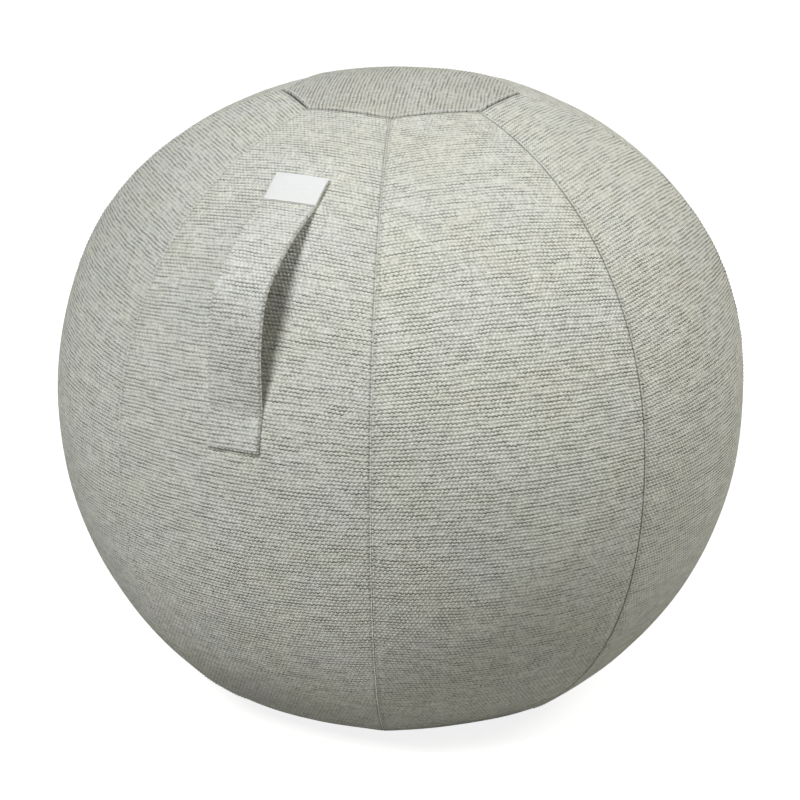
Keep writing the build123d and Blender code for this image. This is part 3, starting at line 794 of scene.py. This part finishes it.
def make_base_cloth():
    """Flat bottom panel, its sides bowed as the gores are and its edge thinned."""
    corner = BASE_RIM_RADIUS - BASE_INSET
    middle = corner * (cos(HALF_ANGLE) + (1 - flatness(seam_point(BASE_TURN)[1])) * HALF_SHARE)
    bow = 1 - corner * cos(HALF_ANGLE) / middle
    shares = [(share, 0) for share in (0.005, 0.35, 0.62, 0.8, 0.92, 0.985)] + [(0.995, 0.0002), (1, 0.0008)]

    def loop(share, z):
        outline = ring_loop(
            lambda angle: share * side_radius(angle, middle, bow),
            lambda x, y: z + ripple(x, y, 30, 2.2, 0.0002),
            0,
        )
        return outline[::-1]

    loops = [loop(share, FLOOR_STACK + BASE_CLEARANCE + thinned) for share, thinned in shares]
    loops += [loop(share, BASE_TOP - BASE_CLEARANCE - thinned) for share, thinned in reversed(shares)]
    skin = Skin()
    skin.loft(loops)
    piece = skin.add("base_cloth_panel", BASE_CLOTH, "base_cloth")
    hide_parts("base_panel")


# Ring tunnel

TUNNEL_OUTER = RING_ROOM + TUNNEL_WALL
TUNNEL_EDGE = TUNNEL_OUTER + TUNNEL_FLANGE


def round_axis(angle, radius, z):
    """Point at an angle round the axis from -Y."""
    return Vector((radius * sin(angle), -radius * cos(angle), z))


def tunnel_section(gather):
    """Outline of the tunnel by distances across its path and heights, flattened where it stands."""
    centre_z = FLOOR_STACK - RING_ROOM
    strip_z = FLOOR_STACK - TUNNEL_WALL
    section = [(-TUNNEL_EDGE, FLOOR_STACK), (-TUNNEL_EDGE, strip_z)]
    for side in spread(-pi / 2, pi / 2, 17):
        size = TUNNEL_OUTER + TUNNEL_GATHER_DEPTH * gather * abs(sin(side))
        section.append((size * sin(side), max(centre_z - size * cos(side), 0)))
    section += [(TUNNEL_EDGE, strip_z), (TUNNEL_EDGE, FLOOR_STACK), (RING_ROOM, FLOOR_STACK)]
    for side in spread(pi / 2, -pi / 2, 9):
        section.append((RING_ROOM * sin(side), centre_z - RING_ROOM * cos(side)))
    section.append((-RING_ROOM, FLOOR_STACK))
    return section


def stitch_round(skin, radius):
    """Thread round the axis on the underside of the tunnel's strips."""

    def place(distance):
        return round_axis(distance / radius, radius, FLOOR_STACK - TUNNEL_WALL), Vector((0, 0, -1))

    skin.stitch_row(place, 2 * pi * radius)


def make_ring_tunnel():
    """Gathered sleeve under the base with a sewn strip on each side of the ring."""
    length = 2 * pi * RING_PATH_RADIUS
    turns = 4 * TUNNEL_GATHERS
    loops = []
    for index in range(turns):
        angle = 2 * pi * index / turns
        gather = 0.6 * sin(TUNNEL_GATHERS * angle) + ripple(cos(angle), sin(angle), 9, 1, 1)
        loop = []
        for step, (across, z) in enumerate(tunnel_section(gather)):
            point = round_axis(angle, RING_PATH_RADIUS + across, z)
            loop.append((point, (angle * RING_PATH_RADIUS, step * 0.0015)))
        loops.append(loop)
    skin = Skin()
    skin.loft(loops, joined=length)
    piece = skin.add("ring_tunnel_cloth", BASE_CLOTH, "base_cloth")
    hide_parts("ring_tunnel")
    stitches = Skin()
    for sign in (-1, 1):
        stitch_round(stitches, RING_PATH_RADIUS + sign * (TUNNEL_OUTER + TUNNEL_FLANGE / 2))
    stitches.add("ring_tunnel_stitches", THREAD, "base_cloth")


# Carry strap and label

STRAP_EDGE_STEPS = [0, 0.0001, 0.0004, 0.0009, 0.0016]       # from its folded edges and ends
STRAP_BODY_STEPS = [0.0030, 0.0060, 0.0100, 0.0150, 0.0200]
STRAP_RIGHT = [STRAP_WIDTH / 2 - step for step in STRAP_EDGE_STEPS + STRAP_BODY_STEPS]
STRAP_COLUMNS = [-across for across in STRAP_RIGHT] + [0.0] + STRAP_RIGHT[::-1]
STRAP_ROWS = 64                                              # in each half


def on_panel(distance, out):
    """Point over the middle line of the panel that faces -Y, at a distance up it from the equator."""
    before, after = (middle_point(turn_at(distance + step)) for step in (-SHORT_STEP / 2, SHORT_STEP / 2))
    along = (after - before).normalized()
    return (before + after) / 2 + Vector((0, -along.z, along.y)) * out


def strap_curves():
    """Control points of the strap's underside as it rises from the lower tab and falls to the upper one."""
    peak = on_panel(STRAP_PEAK, STRAP_RISE + STRAP_FIT)
    up_panel = on_panel(STRAP_PEAK + SHORT_STEP, 0) - on_panel(STRAP_PEAK - SHORT_STEP, 0)
    bend = up_panel.normalized() * STRAP_PEAK_PULL
    root = STRAP_ROOT_LIFT + STRAP_FIT
    rise = [on_panel(STRAP_LIFT, STRAP_FIT), on_panel(STRAP_LIFT + STRAP_ROOT_PULL, root), peak - bend, peak]
    fall = [peak, peak + bend, on_panel(STRAP_LAND - STRAP_ROOT_PULL, root), on_panel(STRAP_LAND, STRAP_FIT)]
    return rise, fall


STRAP_CURVES = strap_curves()


def strap_path(value):
    """Underside of the strap: up to 1 is its lower tab, to 2 its rise, to 3 its fall, to 4 its upper tab."""
    if value <= 1:
        return on_panel(STRAP_START + (STRAP_LIFT - STRAP_START) * value, STRAP_FIT)
    if value >= 3:
        return on_panel(STRAP_LAND + (STRAP_END - STRAP_LAND) * (value - 3), STRAP_FIT)
    first, second, third, last = STRAP_CURVES[0 if value < 2 else 1]
    part = value - (1 if value < 2 else 2)
    rest = 1 - part
    return first * rest**3 + second * 3 * rest**2 * part + third * 3 * rest * part**2 + last * part**3


STRAP_LINE = Distances(strap_path, 0, 4, 1601)
STRAP_LENGTH = STRAP_LINE.along[-1]


def strap_point(distance, across, out):
    """Point at a distance up the strap, across it and out from its underside. Its tabs follow the panel."""
    places = [min(max(distance + step, 0), STRAP_LENGTH) for step in (-SHORT_STEP, 0, SHORT_STEP)]
    before, base, after = (strap_path(STRAP_LINE.value(place)) for place in places)
    along = (after - before).normalized()
    outward = Vector((0, -along.z, along.y))
    value = STRAP_LINE.value(distance)
    on_tab = 1 - smooth_step(2 * min(value - 1, 3 - value))
    up_panel = STRAP_START + (STRAP_END - STRAP_START) * distance / STRAP_LENGTH
    _, _, half_chord, bulge = station(turn_at(up_panel))
    dip = (arc_height(across + STRAP_OFFSET, half_chord, bulge) - bulge) * on_tab
    return base + Vector((across + STRAP_OFFSET, 0, 0)) + outward * (dip + out)


def strap_faces(distance, across):
    """Heights of the strap's lower and upper face over its underside. They meet at its edges and ends."""
    half = STRAP_THICKNESS / 2
    edge = min(STRAP_WIDTH / 2 - abs(across), distance, STRAP_LENGTH - distance)
    inward = max(1 - edge / half, 0)
    swell = half * max(1 - inward**STRAP_SQUARENESS, 0) ** (1 / STRAP_SQUARENESS)
    return half - swell, half + swell


def strap_painted_shade(distance, across):
    """Painted shade on the strap's face in the crease where it leaves the cover, and beside its right edge."""
    crease = exp(-(((distance - STRAP_LINE.at(1)) / STRAP_CREASE_WIDTH) ** 2))
    fold = exp(-(((STRAP_WIDTH / 2 - across) / STRAP_FOLD_LINE - 1) ** 2))
    return STRAP_CREASE_PAINTED_SHADE * max(crease, fold)


def make_strap_half(name, distances, nodes):
    """Half of the strap, with rows at these distances. nodes are the solids that it stands in for, which it
    hides.
    """
    loops = []
    painted_shades = []
    for distance in distances:
        over = [(across, strap_faces(distance, across)[1]) for across in STRAP_COLUMNS]
        under = [(across, strap_faces(distance, across)[0]) for across in STRAP_COLUMNS[-2:0:-1]]
        loop = [(strap_point(distance, across, out), (across, distance)) for across, out in over + under]
        loops.append(loop)
        # Painted shade in the crease and beside the right edge, on the top face only
        painted_shades += [strap_painted_shade(distance, across) for across in STRAP_COLUMNS] + [0] * len(under)
    skin = Skin()
    skin.loft(loops)
    piece = skin.add(name, STRAP_WEAVE, "strap_weave", None, painted_shades)
    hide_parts(*nodes)
    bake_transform(piece)


def stitch_across(skin, distance):
    """Thread across the strap at a distance up it."""

    def place(along):
        across = along - STRAP_WIDTH / 2 + STRAP_STITCH_EDGE
        top = strap_faces(distance, across)[1]
        point, above = (strap_point(distance, across, top + step) for step in (0, SHORT_STEP))
        return point, (above - point).normalized()

    skin.stitch_row(place, STRAP_WIDTH - 2 * STRAP_STITCH_EDGE, STRAP_STITCH_PITCH)


def make_strap():
    """The strap's lower and upper halves, which meet in the middle of the grip, and its thread."""
    lift, peak, land = (STRAP_LINE.at(value) for value in (1, 2, 3))
    first = STRAP_BODY_STEPS[0]
    lower = STRAP_EDGE_STEPS + spread(first, peak, STRAP_ROWS)
    upper = spread(peak, STRAP_LENGTH - first, STRAP_ROWS)
    upper += [STRAP_LENGTH - step for step in STRAP_EDGE_STEPS[::-1]]
    make_strap_half("strap_cloth_lower", lower, ["handle_lower_end", "handle_grip"])
    make_strap_half("strap_cloth_upper", upper, ["handle_upper_end"])
    stitches = Skin()
    for row in (STRAP_STITCH_ROW, lift - STRAP_STITCH_EDGE):
        stitch_across(stitches, row)
    stitches.add("strap_stitches", THREAD, "strap_weave")


def make_label():
    """Bare woven label over the strap's upper tab."""
    half = STRAP_WIDTH / 2
    right = [half - 0.0004, half + LABEL_OVERHANG]
    columns = [-across for across in right[::-1]] + spread(-half + 0.003, half - 0.003, 9) + right
    seat = STRAP_THICKNESS + LABEL_FIT
    loops = []
    for distance in spread(STRAP_LENGTH - LABEL_HEIGHT, STRAP_LENGTH, 14):
        section = [(across, seat + LABEL_THICKNESS) for across in columns]
        section += [(across, seat) for across in columns[::-1]]
        loops.append([(strap_point(distance, across, out), (across, distance)) for across, out in section])
    skin = Skin()
    skin.loft(loops)
    piece = skin.add("label_cloth_bare", LABEL_CLOTH, "label_cloth")
    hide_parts("handle_label")


# Zip

def seam_radius_at(height):
    """Radius of a seam at a height above the equator."""
    limit, fullness = (CROWN_HEIGHT, CROWN_FULLNESS) if height > 0 else (KEEL_DEPTH, KEEL_FULLNESS)
    share = abs(height) / limit
    turn = atan2(share ** (fullness / 2), sqrt(1 - share**fullness))
    return seam_point(turn if height > 0 else -turn)[0]


def zip_circle():
    """Centre, radius and end angles of the arc that the zip follows, through three points of its seam."""
    heights = (ZIP_TOP, (ZIP_TOP + ZIP_BOTTOM) / 2, ZIP_BOTTOM)
    points = [(seam_radius_at(height), EQUATOR_Z + height) for height in heights]
    (ax, az), (bx, bz), (cx, cz) = points
    scale = 2 * (ax * (bz - cz) + bx * (cz - az) + cx * (az - bz))
    a, b, c = (x * x + z * z for x, z in points)
    x = (a * (bz - cz) + b * (cz - az) + c * (az - bz)) / scale
    z = (a * (cx - bx) + b * (ax - cx) + c * (bx - ax)) / scale
    return x, z, hypot(ax - x, az - z), atan2(az - z, ax - x), atan2(cz - z, cx - x)


def make_zip_tape(side, sign):
    """Woven tape with a thicker corded edge beside the teeth."""
    x, z, radius, top, bottom = zip_circle()
    overrun = ZIP_TAPE_OVERRUN / radius
    sideways = Vector((cos(ZIP_SEAM), sin(ZIP_SEAM), 0)) * sign
    outward = Vector((sin(ZIP_SEAM), -cos(ZIP_SEAM), 0))
    near = ZIP_TAPE_EDGE
    far = ZIP_TAPE_EDGE + ZIP_TAPE_WIDTH
    cord = [(near, 0.5), (near + 0.0002, 0.1), (near + 0.0008, 0), (near + ZIP_CORD, 0.1)]
    tape = [(far - 0.0004, 0.1), (far, 0.3), (far, 0.9), (near + 0.0002, 0.9)]
    loops = []
    for angle in spread(top + overrun, bottom - overrun, 72):
        loop = []
        for across, depth in cord + tape:
            reach = radius - ZIP_TAPE_DEPTH - depth * ZIP_TAPE
            middle = outward * (x + reach * cos(angle)) + Vector((0, 0, z + reach * sin(angle)))
            loop.append((middle + sideways * across, (across, angle * radius)))
        loops.append(loop if sign > 0 else loop[::-1])
    skin = Skin()
    skin.loft(loops)
    piece = skin.add(f"zip_tape_cloth_{side}", TAPE_CLOTH, "zip_tape")
    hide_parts(f"zip_tape_{side}")


# Finishes of the solids that stay

FINISHES = {
    "inner_ball": BALL_VINYL,
    "valve_seat": PLUG_PLASTIC,
    "air_plug": PLUG_PLASTIC,
    "floor_ring": RING_PLASTIC,
    "zip_teeth_left": ZIP_PLASTIC,
    "zip_teeth_right": ZIP_PLASTIC,
    "zip_top_stops": ZIP_METAL,
    "zip_bottom_stop": ZIP_METAL,
    "zip_slider": ZIP_METAL,
    "zip_pull": ZIP_METAL,
}


def finish_solids():
    """Give each solid that stays its finish."""
    for name, material in FINISHES.items():
        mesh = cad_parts[name].data
        mesh.materials.clear()
        mesh.materials.append(material)


# Studio

CAMERA_AZIMUTH = 26.76
CAMERA_ELEVATION = 18.9
CAMERA_DISTANCE = 2.376
CAMERA_FOCAL_PIXELS = 2484.0
IMAGE_PIXELS = 800.0
AIM_PIXEL = (400.4, 384.2)  # where the middle of the ball is in the picture
FLOOR_HALF = 6.0
FLOOR_COLOUR = (0.38, 0.375, 0.35)
FLOOR_GLOW = 0.85          # adds to what the camera sees of the floor
WORLD_LIGHT = 0.04         # strength of the white surroundings as a light
LAMP_DISTANCE = 5.0
LAMPS = (                  # name, azimuth, elevation, width, power and colour
    ("left_box", -12, 44, 1.4, 198, (0.965, 0.985, 1.0)),
    ("right_box", 109, 47, 2.4, 172, (1.0, 0.99, 0.95)),
)


def aim_at_ball(thing, azimuth, elevation, distance):
    """Put a camera or lamp at angles in degrees and a distance from the ball's middle, facing it."""
    level = cos(radians(elevation))
    away = Vector((sin(radians(azimuth)) * level, -cos(radians(azimuth)) * level, sin(radians(elevation))))
    thing.location = Vector((0, 0, EQUATOR_Z)) + away * distance
    thing.rotation_euler = (-away).to_track_quat("-Z", "Y").to_euler()
    bpy.context.scene.collection.objects.link(thing)


def make_camera():
    """Camera at the photograph's place, aimed at the middle of the ball."""
    data = bpy.data.cameras.new("camera")
    data.sensor_width = 36
    data.lens = CAMERA_FOCAL_PIXELS / IMAGE_PIXELS * data.sensor_width
    data.shift_x = (IMAGE_PIXELS / 2 - AIM_PIXEL[0]) / IMAGE_PIXELS
    data.shift_y = (AIM_PIXEL[1] - IMAGE_PIXELS / 2) / IMAGE_PIXELS
    camera = bpy.data.objects.new("camera", data)
    aim_at_ball(camera, CAMERA_AZIMUTH, CAMERA_ELEVATION, CAMERA_DISTANCE)
    bpy.context.scene.camera = camera


def make_floor():
    """Plain pale floor. The camera sees it lighter than it lights the ball, and it keeps the shadow."""
    mesh = bpy.data.meshes.new("floor")
    corners = [(x * FLOOR_HALF, y * FLOOR_HALF, 0) for x, y in ((-1, -1), (1, -1), (1, 1), (-1, 1))]
    mesh.from_pydata(corners, [], [(0, 1, 2, 3)])
    floor = bpy.data.objects.new("floor", mesh)
    bpy.context.scene.collection.objects.link(floor)
    shader = Shader("floor")
    mesh.materials.append(shader.finish(
        Base_Color=(*FLOOR_COLOUR, 1),
        Roughness=0.9,
        Emission_Color=(1, 1, 1, 1),
        Emission_Strength=shader.times(shader.seen(), FLOOR_GLOW),
    ))


def make_lamp(name, azimuth, elevation, width, power, colour):
    """Square soft lamp aimed at the ball."""
    data = bpy.data.lights.new(name, "AREA")
    data.color = colour
    data.size = width
    data.energy = power
    aim_at_ball(bpy.data.objects.new(name, data), azimuth, elevation, LAMP_DISTANCE)


def make_surroundings():
    """White surroundings that light the ball only a little."""
    world = bpy.data.worlds.new("studio")
    world.use_nodes = True
    bpy.context.scene.world = world
    nodes = Nodes(world.node_tree)
    strength = nodes.ramp(nodes.seen(), 0, 1, WORLD_LIGHT, 1.0)
    nodes.fill(world.node_tree.nodes["Background"], {"Color": (1, 1, 1, 1), "Strength": strength})
    bpy.context.scene.view_settings.view_transform = "Standard"


make_camera()
for number in range(1, PANEL_COUNT + 1):
    make_panel(number)
    make_seam_stitches(number)
make_top_cloth()
make_base_cloth()
make_ring_tunnel()
make_strap()
make_label()
make_zip_tape("left", -1)
make_zip_tape("right", 1)
finish_solids()
make_floor()
make_surroundings()
for lamp in LAMPS:
    make_lamp(*lamp)
